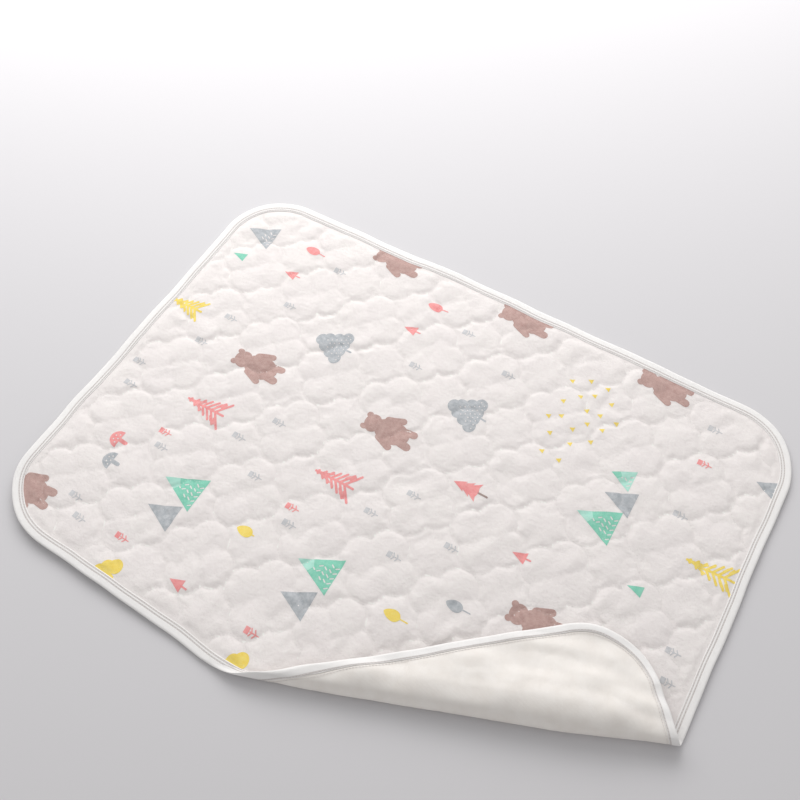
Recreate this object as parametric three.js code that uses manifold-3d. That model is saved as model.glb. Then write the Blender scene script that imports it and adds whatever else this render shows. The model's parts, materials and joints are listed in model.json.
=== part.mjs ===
// Quilted changing pad with one corner turned back, in millimetres, +Z up.
// +X runs along the long side and +Y along the short side. The origin is on the resting plane, under the middle.
//
// Every layer is drawn flat, as it is cut and sewn, and then divided along the crease into three strips:
// the pad, the narrow fold strip, and the corner beyond it. The two creases between the strips are mitred,
// so that the corner can stand turned back over the pad (as drawn here) and can also be laid out flat.

import * as THREE from 'three';
import { mergeVertices } from 'three/addons/utils/BufferGeometryUtils.js';
import Module from 'manifold-3d';

const wasm = await Module();
wasm.setup();

// ---- driving dimensions ----
const LENGTH = 700;
const WIDTH = 500;
const CORNER_RADIUS = 73;
const GAP = 0.3;               // left between touching layers

// Layer heights from the resting plane, before folding: the border is pressed flatter than the field
const TAPE = 0.7;              // thickness of the binding tape
const TAPE_WIDTH = 12;         // how far the tape reaches in over each face
const BACK_INSET = 1.2;        // how far each layer's edge stops short of the tape's fold
const FILM_INSET = 1.5;
const BATTING_INSET = 2;
const TOP_INSET = 1.5;
const BACK_THICKNESS = 0.7;
const FILM_THICKNESS = 0.4;
const BATTING_FIELD = 2.6;
const BATTING_BORDER = 0.6;
const TOP_THICKNESS = 0.8;
const THREAD = 0.5;

// Crease: from a point on the front long edge to a point on the right short edge
const CREASE_FRONT_X = -4;
const CREASE_RIGHT_Y = -122;
const ROLL_RADIUS = 14;        // radius of the soft roll that the two creases stand for
const TURN = 188;              // degrees that the corner is turned back by, in two equal steps

// Quilting: four-lobed cloud outlines in a square lattice
const CLOUD_PITCH_X = 79;
const CLOUD_PITCH_Y = 80;
const CLOUD_TILT = -1;         // degrees
const CLOUD_CENTRE = [28.5, 60.5];
const CLOUD_COLUMNS = { first: -5, last: 4 };   // counted from the cloud at CLOUD_CENTRE
const CLOUD_ROWS = { first: -4, last: 2 };
const LOBE_OFFSET = 20;
const LOBE_RADIUS = 20.4;
const LOBE_STEPS = 2;              // half the sides of one lobe
const QUILT_THREAD_WIDTH = 0.9;
const STITCH_ROWS = { outer: 7.2, inner: 10.2 };   // distance of each binding stitch row from the edge
const STITCH_WIDTH = 0.7;
const CORNER_STEPS = 5;            // half the sides of one rounded corner

// ---- worked out from them ----
const BACK_Z = TAPE + GAP;
const FILM_Z = BACK_Z + BACK_THICKNESS + GAP;
const BATTING_Z = FILM_Z + FILM_THICKNESS + GAP;
const TOP_BORDER_Z = BATTING_Z + BATTING_BORDER + GAP;
const TOP_FIELD_Z = BATTING_Z + BATTING_FIELD + GAP;
const TOP_Z = TOP_FIELD_Z + TOP_THICKNESS;
const TAPE_TOP_Z = TOP_BORDER_Z + TOP_THICKNESS + GAP;
const STITCH_Z = TAPE_TOP_Z + TAPE + GAP;
const FIELD_INSET = TAPE_WIDTH + GAP;

// The two hinge lines sit where a soft roll of this radius turns flat cloth through each half of the fold
const HALF_TURN = THREE.MathUtils.degToRad(TURN / 2);
const HINGE_DISTANCE = ROLL_RADIUS * Math.PI / 4;   // of each hinge line from the middle of the roll
const HINGE_RISE = 0.215;      // height of each hinge line, as a share of the roll's radius
const HINGE_Z = ROLL_RADIUS * HINGE_RISE;
const MITRE_CLEARANCE = 0.15;

const creaseStart = new THREE.Vector2(CREASE_FRONT_X, -WIDTH / 2);
const creaseEnd = new THREE.Vector2(LENGTH / 2, CREASE_RIGHT_Y);
const creaseAngle = creaseEnd.clone().sub(creaseStart).angle();

// ---- helpers ----

/** Rounded rectangle of the pad's outline, moved inwards by `inset`. */
function padOutline(inset, Kind = THREE.Shape) {
  const x = LENGTH / 2 - inset;
  const y = WIDTH / 2 - inset;
  const r = CORNER_RADIUS - inset;
  const shape = new Kind();
  shape.moveTo(-x + r, -y);
  shape.lineTo(x - r, -y);
  shape.absarc(x - r, -y + r, r, -Math.PI / 2, 0, false);
  shape.lineTo(x, y - r);
  shape.absarc(x - r, y - r, r, 0, Math.PI / 2, false);
  shape.lineTo(-x + r, y);
  shape.absarc(-x + r, y - r, r, Math.PI / 2, Math.PI, false);
  shape.lineTo(-x, -y + r);
  shape.absarc(-x + r, -y + r, r, Math.PI, Math.PI * 1.5, false);
  return shape;
}

function extrude(shape, bottom, top, curveSegments = CORNER_STEPS) {
  const geometry = new THREE.ExtrudeGeometry(shape, { depth: top - bottom, bevelEnabled: false, curveSegments });
  return geometry.translate(0, 0, bottom);
}

function toSolid(geometry) {
  const bare = geometry.clone();
  bare.deleteAttribute('normal');
  bare.deleteAttribute('uv');
  const merged = mergeVertices(bare, 1e-4);
  return new wasm.Manifold(new wasm.Mesh({
    numProp: 3,
    vertProperties: merged.attributes.position.array,
    triVerts: new Uint32Array(merged.index.array),
  }));
}

function toGeometry(solid) {
  const mesh = solid.getMesh();
  const geometry = new THREE.BufferGeometry();
  geometry.setAttribute('position', new THREE.BufferAttribute(mesh.vertProperties, 3));
  geometry.setIndex(new THREE.BufferAttribute(mesh.triVerts, 1));
  geometry.computeVertexNormals();
  return geometry;
}

/** A flat sheet of the pad's outline. */
const sheet = (inset, bottom, top) => toSolid(extrude(padOutline(inset), bottom, top));

/** A flat frame that follows the pad's outline, between two distances from the edge. */
function frame(insetOuter, insetInner, bottom, top) {
  const shape = padOutline(insetOuter);
  shape.holes.push(padOutline(insetInner, THREE.Path));
  return toSolid(extrude(shape, bottom, top));
}

/** The piece with the most volume, where a cut leaves more than one. */
function largest(solid) {
  return solid.decompose().reduce((best, piece) => (piece.volume() > best.volume() ? piece : best));
}

// ---- the layers, flat ----

/** Gauze top cover: a raised field, a wall down to the border, and the border that the tape holds. */
function topCover() {
  const border = frame(TOP_INSET, FIELD_INSET + TOP_THICKNESS, TOP_BORDER_Z, TOP_BORDER_Z + TOP_THICKNESS);
  const wall = frame(FIELD_INSET, FIELD_INSET + TOP_THICKNESS, TOP_BORDER_Z, TOP_Z);
  const field = sheet(FIELD_INSET, TOP_FIELD_Z, TOP_Z);
  return border.add(wall).add(field);
}

/** Batting: full height in the field, pressed thin in the border. */
function batting() {
  const border = sheet(BATTING_INSET, BATTING_Z, BATTING_Z + BATTING_BORDER);
  const field = sheet(FIELD_INSET + TOP_THICKNESS + GAP, BATTING_Z, BATTING_Z + BATTING_FIELD);
  return border.add(field);
}

const waterproofFilm = () => sheet(FILM_INSET, FILM_Z, FILM_Z + FILM_THICKNESS);

/** Back cover: its field reaches down to the resting plane, level with the tape. */
function backCover() {
  const border = sheet(BACK_INSET, BACK_Z, BACK_Z + BACK_THICKNESS);
  return border.add(sheet(FIELD_INSET, 0, BACK_Z + BACK_THICKNESS));
}

/** Binding tape: folded over the edge, with one leg on each face. */
function edgeBinding() {
  const lowerLeg = frame(0, TAPE_WIDTH, 0, TAPE);
  const upperLeg = frame(0, TAPE_WIDTH, TAPE_TOP_Z, TAPE_TOP_Z + TAPE);
  const fold = frame(0, TAPE, 0, TAPE_TOP_Z + TAPE);
  return lowerLeg.add(upperLeg).add(fold);
}

const stitchRow = (inset) => frame(inset, inset + STITCH_WIDTH, STITCH_Z, STITCH_Z + THREAD);

/** Outline of one cloud: four round lobes that meet in cusps on the diagonals. */
function cloudOutline(radius, Kind) {
  const cusp = Math.acos(LOBE_OFFSET / Math.SQRT2 / radius);
  const path = new Kind();
  for (let lobe = 0; lobe < 4; lobe += 1) {
    const direction = lobe * Math.PI / 2;
    const reach = Math.PI * 3 / 4 - cusp;
    path.absarc(LOBE_OFFSET * Math.cos(direction), LOBE_OFFSET * Math.sin(direction), radius,
      direction - reach, direction + reach, false);
  }
  return path;
}

/** Thread of the quilting lines on the top face: cloud outlines that touch their neighbours. */
function quiltingThread() {
  const ring = cloudOutline(LOBE_RADIUS, THREE.Shape);
  ring.holes.push(cloudOutline(LOBE_RADIUS - QUILT_THREAD_WIDTH, THREE.Path));
  const bottom = TOP_Z + GAP;
  const one = toSolid(extrude(ring, bottom, bottom + THREAD, LOBE_STEPS));
  const tilt = THREE.MathUtils.degToRad(CLOUD_TILT);
  const clouds = [];
  for (let i = CLOUD_COLUMNS.first; i <= CLOUD_COLUMNS.last; i += 1) {
    for (let j = CLOUD_ROWS.first; j <= CLOUD_ROWS.last; j += 1) {
      const centre = new THREE.Vector2(i * CLOUD_PITCH_X, j * CLOUD_PITCH_Y)
        .rotateAround(new THREE.Vector2(), tilt)
        .add(new THREE.Vector2(...CLOUD_CENTRE));
      clouds.push(one.rotate([0, 0, CLOUD_TILT]).translate([centre.x, centre.y, 0]));
    }
  }
  const inside = sheet(FIELD_INSET, 0, TOP_Z * 2);
  return wasm.Manifold.union(clouds).intersect(inside);
}

// ---- the three strips, as cutters ----

/** A long prism along the crease, from a section drawn across it: first number outwards, second upwards. */
function creasePrism(section) {
  const shape = new THREE.Shape(section.map(([across, up]) => new THREE.Vector2(across, up)));
  const long = LENGTH + WIDTH;
  const prism = new THREE.ExtrudeGeometry(shape, { depth: long, bevelEnabled: false, steps: 1 });
  prism.translate(0, 0, -long / 2);
  // section x to outwards across the crease, section y to up, depth to back along the crease
  const outwards = new THREE.Vector3(Math.sin(creaseAngle), -Math.cos(creaseAngle), 0);
  const up = new THREE.Vector3(0, 0, 1);
  prism.applyMatrix4(new THREE.Matrix4().makeBasis(outwards, up, outwards.clone().cross(up)));
  prism.translate(creaseStart.x, creaseStart.y, 0);
  return toSolid(prism);
}

const FAR = LENGTH;
const BELOW = -5;
const ABOVE = TOP_Z + GAP + THREAD + GAP;
const mitre = (ABOVE - HINGE_Z) * Math.tan(HALF_TURN / 2);
const edgeOf = (hinge, side) => [
  [hinge + side * MITRE_CLEARANCE, BELOW],
  [hinge + side * MITRE_CLEARANCE, HINGE_Z],
  [hinge + side * (MITRE_CLEARANCE + mitre), ABOVE],
];
const STRIPS = {
  pad: creasePrism([[-FAR, BELOW], ...edgeOf(-HINGE_DISTANCE, -1), [-FAR, ABOVE]]),
  fold: creasePrism([...edgeOf(-HINGE_DISTANCE, 1).reverse(), ...edgeOf(HINGE_DISTANCE, -1)]),
  corner: creasePrism([[FAR, ABOVE], ...edgeOf(HINGE_DISTANCE, 1).reverse(), [FAR, BELOW]]),
};

// ---- finishes ----
const gauze = () => new THREE.MeshStandardMaterial({ color: 0xf3efee, roughness: 0.95, metalness: 0 });
const fill = () => new THREE.MeshStandardMaterial({ color: 0xf7f5f0, roughness: 1, metalness: 0 });
const film = () => new THREE.MeshStandardMaterial({ color: 0xe9eef2, roughness: 0.35, metalness: 0 });
const backing = () => new THREE.MeshStandardMaterial({ color: 0xece6dd, roughness: 0.8, metalness: 0 });
const tape = () => new THREE.MeshStandardMaterial({ color: 0xf6f4f1, roughness: 0.85, metalness: 0 });
const thread = () => new THREE.MeshStandardMaterial({ color: 0xffffff, roughness: 0.7, metalness: 0 });

const LAYERS = [
  ['back_cover', backCover(), backing],
  ['waterproof_film', waterproofFilm(), film],
  ['batting', batting(), fill],
  ['top_cover', topCover(), gauze],
  ['edge_binding', edgeBinding(), tape],
  ['binding_stitch_outer', stitchRow(STITCH_ROWS.outer), thread],
  ['binding_stitch_inner', stitchRow(STITCH_ROWS.inner), thread],
  ['quilting_thread', quiltingThread(), thread],
];

// ---- assembly ----
// Nested groups stand on the hinge lines: the fold strip turns on the pad, and the corner on the fold strip.

/** A group whose origin is on a hinge line, turned by `angle` about the crease. */
function hingeGroup(across, up, angle) {
  const outwards = new THREE.Vector2(Math.sin(creaseAngle), -Math.cos(creaseAngle));
  const along = new THREE.Vector3(Math.cos(creaseAngle), Math.sin(creaseAngle), 0);
  const group = new THREE.Group();
  group.position.set(creaseStart.x + outwards.x * across, creaseStart.y + outwards.y * across, up);
  group.quaternion.setFromAxisAngle(along, angle);
  return group;
}

function addPiece(group, name, solid, material) {
  const mesh = new THREE.Mesh(toGeometry(solid), material());
  mesh.name = name;
  mesh.position.copy(group.userData.drawnAt ?? new THREE.Vector3()).negate();
  group.add(mesh);
}

const pad = new THREE.Group();
const foldStrip = hingeGroup(-HINGE_DISTANCE, HINGE_Z, -HALF_TURN);
const corner = hingeGroup(HINGE_DISTANCE, HINGE_Z, -HALF_TURN);
foldStrip.userData.drawnAt = foldStrip.position.clone();
corner.userData.drawnAt = corner.position.clone();
corner.position.sub(foldStrip.position);
foldStrip.add(corner);
pad.add(foldStrip);

for (const [name, flat, material] of LAYERS) {
  addPiece(pad, name, largest(flat.intersect(STRIPS.pad)), material);
  addPiece(corner, `${name}_corner`, largest(flat.intersect(STRIPS.corner)), material);
  if (name === 'quilting_thread') continue;   // the strip between the creases holds only loose ends of it
  const pieces = flat.intersect(STRIPS.fold).decompose()
    .sort((a, b) => a.boundingBox().min[0] - b.boundingBox().min[0]);
  const ends = pieces.length === 1 ? ['_fold'] : ['_fold_front', '_fold_side'];
  pieces.forEach((piece, i) => addPiece(foldStrip, name + ends[i], piece, material));
}

export default pad;
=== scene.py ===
"""A quilted changing pad with one corner turned over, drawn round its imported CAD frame.

The pad is worked out flat, in millimetres, as it is sewn: x and y are places on the flat pad, and z is the
height above its underside. place() then lays each point where it is once the corner has been turned over.
"""

import json
import math

import bmesh
import bpy
import numpy as np
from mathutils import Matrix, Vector
from mathutils.geometry import delaunay_2d_cdt


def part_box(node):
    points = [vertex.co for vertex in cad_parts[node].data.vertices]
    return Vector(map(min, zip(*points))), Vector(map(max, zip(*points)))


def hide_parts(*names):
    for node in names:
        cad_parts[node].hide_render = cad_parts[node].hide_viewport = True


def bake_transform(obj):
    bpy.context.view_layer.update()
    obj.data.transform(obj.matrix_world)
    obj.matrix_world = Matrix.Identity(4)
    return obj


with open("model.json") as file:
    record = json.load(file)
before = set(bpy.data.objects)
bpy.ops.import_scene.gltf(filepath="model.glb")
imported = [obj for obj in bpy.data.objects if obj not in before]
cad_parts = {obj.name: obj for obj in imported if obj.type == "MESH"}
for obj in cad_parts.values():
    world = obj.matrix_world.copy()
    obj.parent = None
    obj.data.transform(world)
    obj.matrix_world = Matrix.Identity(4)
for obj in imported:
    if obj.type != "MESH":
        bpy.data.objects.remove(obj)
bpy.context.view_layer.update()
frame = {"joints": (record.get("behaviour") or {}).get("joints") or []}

MM = 0.001
SEED = 20


# ---------------------------------------------------------------- sizes that the frame gives
def box_mm(node):
    low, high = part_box(node)
    return np.array(low) / MM, np.array(high) / MM


JOINTS = {joint["name"]: joint for joint in frame["joints"]}
LOWER_HINGE = np.array(JOINTS["corner_unfold"]["pos_m"]) / MM
UPPER_HINGE = np.array(JOINTS["corner_unfold_upper"]["pos_m"]) / MM
TURN = math.radians(sum(joint["range_deg"][1] for joint in JOINTS.values()))
HINGE_SIDE = (UPPER_HINGE[2] - LOWER_HINGE[2]) / 2 / math.sin(TURN / 2)   # hinge line to the crease's middle
ROLL_RADIUS = HINGE_SIDE * 4 / math.pi
ALONG = np.array(JOINTS["corner_unfold"]["axis"][:2])
ALONG = ALONG / np.linalg.norm(ALONG)
OUTWARD = np.array([ALONG[1], -ALONG[0]])
SETBACK = 4.0            # the cloth's own crease lies this far inside the middle of the frame's hinge strip
CREASE_MIDDLE = LOWER_HINGE[:2] + OUTWARD * (HINGE_SIDE - SETBACK)

HALF_LENGTH = -box_mm("edge_binding")[0][0]
HALF_WIDTH = box_mm("edge_binding")[1][1]
CORNER_RADIUS = 73.0
CREASE_HALF = 195.0      # half the length of the crease
DIVISION = 10.0          # the pieces are divided this far past the crease, on top of the roll

# ---------------------------------------------------------------- sizes of the sewn layers
TAPE_WIDTH = 12.0
BACK_LEG = 8.8           # width of the tape on the underside
TAPE_THICKNESS = 0.65
TAPE_TOP = 3.7
CHANNEL = 0.28           # how deep the stitching presses into the tape
COVER_INSET = 5.0        # the layers end this far inside the tape's edge
SEAM_TOP = 2.95          # height of the top cover where it is sewn down
COVER_THICKNESS = 0.45
BACK_SEAM_PULL = 0.9     # how far a seam draws the backing up under the pad
FLAP_SEAM_PULL = 0.4     # the same on the turned corner
FLAP_FLATTER = 0.6       # share of the relief that the turned corner's own gauze loses
FINE_STEP = 2.0          # mesh size of the covers
COARSE_STEP = 4.0        # mesh size of the hidden layers

CLOUD_PITCH = (79.0, 80.0)
CLOUD_TILT = math.radians(-1)
CLOUD_CENTRE = (28.5, 60.5)
LOBE_OFFSET = 20.0
LOBE_RADIUS = 20.4
STITCH_ROWS = (7.6, 10.4)

# ---------------------------------------------------------------- how the pad lies
ROLL_END_SHARE = 0.75    # size of the roll at the ends of the crease, against its fullest
ROLL_FULLNESS = 1.0      # length of cloth in the roll, against the frame's
LEFT_TAPER, RIGHT_TAPER = 260.0, 110.0   # lengths over which the roll grows from each end
ROLL_UNEVEN = 0.35       # how much quicker the roll turns at the ground than on top
ROLL_SQUASH = 0.5        # how much thinner the layers are inside the roll
BULGE = 9.0              # how far the foot of the roll swells outwards
DROOP = 3.5              # sag of the turned corner
FLAP_REST = 10.0         # height of the turned corner's outer face where it rests on the pad
REST_SOFTNESS = 1.2      # how gently the turned corner settles on to that height
FLAP_RIPPLE = 0.5        # ripples in the turned corner beside its tape
LONG_STREAK, SHORT_STREAK = 2.2, 1.2   # heights of the wrinkles in line with the crease, and of the others
LEFT_DRAW = 10.0         # how far washing has drawn in the left side, towards the rear
REAR_DRAW, REAR_LEFT_DRAW = 2.0, 5.0   # the rear side, and what its left end adds
FRONT_BOW = 7.0          # how far the front side bows outwards, left of its middle
FRONT_LEFT_DRAW = 6.0    # how far the front side's left end is drawn in
RIGHT_DRAW = 3.0
EDGE_WAVE = 1.1          # in and out waves of the edge
GROUND_WAVE = 0.7        # broad waves of the underside
EDGE_LIFT = 0.9          # ripples that lift the edge off the ground
CORNER_LIFT = 5.0        # the front left corner's height off the ground
FRONT_LIFT = 2.4         # the front edge's, left of the middle


def smooth(t):
    t = np.clip(t, 0.0, 1.0)
    return t * t * (3 - 2 * t)


def bell(t):
    return np.exp(-t * t)


def noise(x, y, cell, seed):
    """Seeded smooth noise between -1 and 1, with bumps about one cell wide."""
    size = 256
    table = np.random.default_rng(SEED + seed).uniform(-1, 1, (size, size))
    u, v = x / cell + size / 2, y / cell + size / 2
    i, j = np.floor(u).astype(int), np.floor(v).astype(int)
    fu, fv = smooth(u - i), smooth(v - j)
    i, j, i1, j1 = i % size, j % size, (i + 1) % size, (j + 1) % size
    near = table[i, j] * (1 - fu) + table[i1, j] * fu
    far = table[i, j1] * (1 - fu) + table[i1, j1] * fu
    return near * (1 - fv) + far * fv


# ---------------------------------------------------------------- the flat pad's outline and quilting
def edge_distance(x, y):
    """Distance in from the pad's edge."""
    qx = np.abs(x) - (HALF_LENGTH - CORNER_RADIUS)
    qy = np.abs(y) - (HALF_WIDTH - CORNER_RADIUS)
    beyond = np.hypot(np.maximum(qx, 0), np.maximum(qy, 0))
    return CORNER_RADIUS - beyond - np.minimum(np.maximum(qx, qy), 0)


def snap_to_inset(x, y, inset):
    """Moves points outside the outline at that inset onto it."""
    straight = np.array([HALF_LENGTH - CORNER_RADIUS, HALF_WIDTH - CORNER_RADIUS])
    radius = CORNER_RADIUS - inset
    qx, qy = np.abs(x) - straight[0], np.abs(y) - straight[1]
    far = np.maximum(np.hypot(np.maximum(qx, 0), np.maximum(qy, 0)), 1e-9)
    shrink = np.minimum(1.0, radius / far)
    qx = np.where(qx > 0, qx * shrink, qx)
    qy = np.where(qy > 0, qy * shrink, qy)
    return np.sign(x) * (qx + straight[0]), np.sign(y) * (qy + straight[1])


def ring(inset, step):
    """Points round the pad at that inset, anticlockwise, with their outward directions."""
    a, b, radius = HALF_LENGTH - CORNER_RADIUS, HALF_WIDTH - CORNER_RADIUS, CORNER_RADIUS - inset
    rows = []
    corners = ((a, -b, -90, 2 * b), (a, b, 0, 2 * a), (-a, b, 90, 2 * b), (-a, -b, 180, 2 * a))
    for x, y, start, straight in corners:
        count = max(2, round(radius * math.pi / 2 / step))
        for angle in np.radians(np.linspace(start, start + 90, count, endpoint=False)):
            c, s = math.cos(angle), math.sin(angle)
            rows.append((x + radius * c, y + radius * s, c, s))
        c, s = math.cos(math.radians(start + 90)), math.sin(math.radians(start + 90))
        for run in np.linspace(0, straight, round(straight / step), endpoint=False):
            rows.append((x + radius * c - s * run, y + radius * s + c * run, c, s))
    return np.array(rows)


def nearest_seam(x, y):
    """Distance to the nearest quilting seam, and how far along its arc that is."""
    c, s = math.cos(CLOUD_TILT), math.sin(CLOUD_TILT)
    u = (x - CLOUD_CENTRE[0]) * c + (y - CLOUD_CENTRE[1]) * s
    v = -(x - CLOUD_CENTRE[0]) * s + (y - CLOUD_CENTRE[1]) * c
    best, arc = np.full(np.shape(x), 1e9), np.zeros(np.shape(x))
    column, row = np.round(u / CLOUD_PITCH[0]), np.round(v / CLOUD_PITCH[1])
    for di in (-1, 0, 1):
        for dj in (-1, 0, 1):
            cu, cv = u - (column + di) * CLOUD_PITCH[0], v - (row + dj) * CLOUD_PITCH[1]
            outline, angle = np.full(np.shape(x), 1e9), np.zeros(np.shape(x))
            for quarter in range(4):
                lu = cu - LOBE_OFFSET * math.cos(quarter * math.pi / 2)
                lv = cv - LOBE_OFFSET * math.sin(quarter * math.pi / 2)
                gap = np.hypot(lu, lv) - LOBE_RADIUS
                angle = np.where(gap < outline, np.arctan2(lv, lu), angle)
                outline = np.minimum(outline, gap)
            nearer = np.abs(outline) < best
            best = np.where(nearer, np.abs(outline), best)
            arc = np.where(nearer, angle * LOBE_RADIUS, arc)
    return best, arc


def cloud_outlines():
    """Each quilted cloud's outline, as a closed run of points."""
    half_arc = math.pi - math.acos(LOBE_OFFSET / math.sqrt(2) / LOBE_RADIUS) - math.pi / 4
    c, s = math.cos(CLOUD_TILT), math.sin(CLOUD_TILT)
    for i in range(-6, 6):
        for j in range(-5, 5):
            u, v = [], []
            for quarter in range(4):
                turn = quarter * math.pi / 2
                angles = turn + np.linspace(-half_arc, half_arc, 60)
                u.append(i * CLOUD_PITCH[0] + LOBE_OFFSET * math.cos(turn) + LOBE_RADIUS * np.cos(angles))
                v.append(j * CLOUD_PITCH[1] + LOBE_OFFSET * math.sin(turn) + LOBE_RADIUS * np.sin(angles))
            u, v = np.concatenate(u), np.concatenate(v)
            x, y = CLOUD_CENTRE[0] + u * c - v * s, CLOUD_CENTRE[1] + u * s + v * c
            if edge_distance(x, y).max() > TAPE_WIDTH:
                yield np.stack([x, y], -1)


# ---------------------------------------------------------------- from the flat pad to where it lies
def to_crease(x, y):
    """(along, across) from the middle of the crease; across is positive on the turned corner."""
    dx, dy = x - CREASE_MIDDLE[0], y - CREASE_MIDDLE[1]
    return dx * ALONG[0] + dy * ALONG[1], dx * OUTWARD[0] + dy * OUTWARD[1]


def from_crease(along, across):
    x = CREASE_MIDDLE[0] + along * ALONG[0] + across * OUTWARD[0]
    y = CREASE_MIDDLE[1] + along * ALONG[1] + across * OUTWARD[1]
    return x, y


def lie(x, y):
    """The flat outline drawn in and out a little, as washed quilting is."""
    left = LEFT_DRAW * smooth((y + 190) / 390) * smooth(-x / HALF_LENGTH)
    rear = (REAR_LEFT_DRAW * smooth(-x / HALF_LENGTH) + REAR_DRAW) * smooth(y / HALF_WIDTH)
    front = FRONT_BOW * bell((x + 75) / 85) * smooth((-y - 60) / 190)
    front = front - FRONT_LEFT_DRAW * smooth((-x - 200) / 100) * smooth(-y / HALF_WIDTH)
    ripple = EDGE_WAVE * bell(edge_distance(x, y) / 30)
    dx = left - RIGHT_DRAW * smooth(x / HALF_LENGTH) + ripple * noise(x, y, 34, 1)
    dy = -rear - front + ripple * noise(x, y, 34, 2)
    return x + dx, y + dy


def unevenness(x, y):
    """Height of the underside off the ground: soft waves, ripples at the edge, a lifted front left corner."""
    edge = bell(edge_distance(x, y) / 26)
    waves = GROUND_WAVE * (1 + noise(x, y, 95, 3)) + edge * EDGE_LIFT * (1 + noise(x, y, 42, 4))
    corner = CORNER_LIFT * bell(np.hypot(x + HALF_LENGTH, y + HALF_WIDTH - 60) / 105)
    front = FRONT_LIFT * bell((y + HALF_WIDTH) / 40) * bell((x + 190) / 90)
    return waves + corner + front


def running_total(values, step):
    return np.concatenate([[0], np.cumsum((values[1:] + values[:-1]) / 2 * step)])


# The roll's centreline for a roll of length 1: the angle turned, and how far out and up it has gone
ROLL_SHARE = np.linspace(0, 1, 201)
ROLL_ANGLE = TURN * (ROLL_SHARE + ROLL_UNEVEN * np.sin(math.pi * ROLL_SHARE) / math.pi)
ROLL_OUT = running_total(np.cos(ROLL_ANGLE), ROLL_SHARE[1])
ROLL_UP = running_total(np.sin(ROLL_ANGLE), ROLL_SHARE[1])


def roll_length(along):
    """Length of cloth in the roll: largest right of the middle, and tapering to both ends of the crease."""
    left = smooth((along + CREASE_HALF) / LEFT_TAPER)
    right = smooth((CREASE_HALF - along) / RIGHT_TAPER)
    return ROLL_FULLNESS * TURN * ROLL_RADIUS * (ROLL_END_SHARE + (1 - ROLL_END_SHARE) * left * right)


def swell(along, out, share):
    """How far the roll's foot, and the pad behind it, swell outwards."""
    left = smooth((along + 300) / 85) * (0.75 + 0.25 * smooth((along + 215) / 100))
    fading = 1 - 0.6 * smooth((share - 0.25) / 0.25) - 0.4 * smooth((share - 0.5) / 0.4)
    return BULGE * left * smooth((CREASE_HALF - along) / 130) * bell((out + ROLL_RADIUS / 2) / 45) * fading


def streaks(along, after):
    """Soft wrinkles in the turned corner, most of them long and in line with the crease."""
    long = LONG_STREAK * noise(along / 4.5, after, 12, 13) * (1 - 0.5 * smooth(after / 70))
    return long + SHORT_STREAK * noise(along, after, 26, 14)


def place(x, y, z):
    """Where a point of the flat pad lies with the corner turned over, in millimetres."""
    ripple = FLAP_RIPPLE * noise(x, y, 38, 15) * bell(edge_distance(x, y) / 20)
    x, y = lie(x, y)
    along, across = to_crease(x, y)
    length = roll_length(along)
    start = -length * (1 + ROLL_OUT[-1]) / 2
    share = np.clip((across - start) / length, 0, 1)
    after = np.maximum(across - start - length, 0)
    angle = np.interp(share, ROLL_SHARE, ROLL_ANGLE)
    out = np.minimum(across, start) + length * np.interp(share, ROLL_SHARE, ROLL_OUT) + after * math.cos(TURN)
    up = length * np.interp(share, ROLL_SHARE, ROLL_UP) + after * math.sin(TURN)
    turned = smooth((share - 0.5) / 0.4)
    up = up - DROOP * smooth(after / 80) + turned * (ripple + streaks(along, after))
    rest = FLAP_REST + np.log1p(np.exp((up - FLAP_REST) / REST_SOFTNESS)) * REST_SOFTNESS
    up = up + turned * (rest - up)
    thin = z * (1 - ROLL_SQUASH * bell((share - 0.4) / 0.35))
    out = out - thin * np.sin(angle)
    up = up + thin * np.cos(angle)
    x, y = from_crease(along, out + swell(along, out, share))
    return np.stack([x, y, up + unevenness(x, y) * (1 - turned)], -1)


# ---------------------------------------------------------------- the quilted surface
def sampled(table, low, step, x, y):
    """Catmull-Rom interpolation in a table of heights."""
    u, v = (x - low[0]) / step, (y - low[1]) / step
    i, j = np.floor(u).astype(int), np.floor(v).astype(int)
    fu, fv = u - i, v - j

    def weights(f):
        return (
            -0.5 * f + f * f - 0.5 * f**3,
            1 - 2.5 * f * f + 1.5 * f**3,
            0.5 * f + 2 * f * f - 1.5 * f**3,
            -0.5 * f * f + 0.5 * f**3,
        )

    total = 0.0
    for a, wu in enumerate(weights(fu)):
        for b, wv in enumerate(weights(fv)):
            column = np.clip(i + a - 1, 0, table.shape[0] - 1)
            row = np.clip(j + b - 1, 0, table.shape[1] - 1)
            total = total + wu * wv * table[column, row]
    return total


RELIEF_SHARE = 0.5       # how much of the simulated relief washing and pressing have left
PUFF_LIMIT = 2.2         # height at which the puffs flatten out
DENTS = 0.55             # broad soft dents in the puffs
WRINKLES = 0.8           # long soft wrinkles across the puffs
PUCKER = 0.25            # gathers beside the seams
GATHER_PITCH = 6.6       # from one gather to the next
SEAM_CREASE = 0.45       # depth of the crease that the thread draws
SIM_STEP = 3.0
SIM_FRAMES = 20
START_PUFF = 2.7         # the puffs' height before the cloth is let go


def puffed(x, y):
    """The quilting before the simulation: puffs between the seams, dented by soft noise."""
    distance, _ = nearest_seam(x, y)
    puff = START_PUFF * (1 - np.exp(-distance / 6))
    dents = 1.2 * noise(x, y, 16, 5) * smooth(distance / 8) + 0.5 * noise(x, y, 8, 6) * smooth(distance / 5)
    return puff + dents


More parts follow.
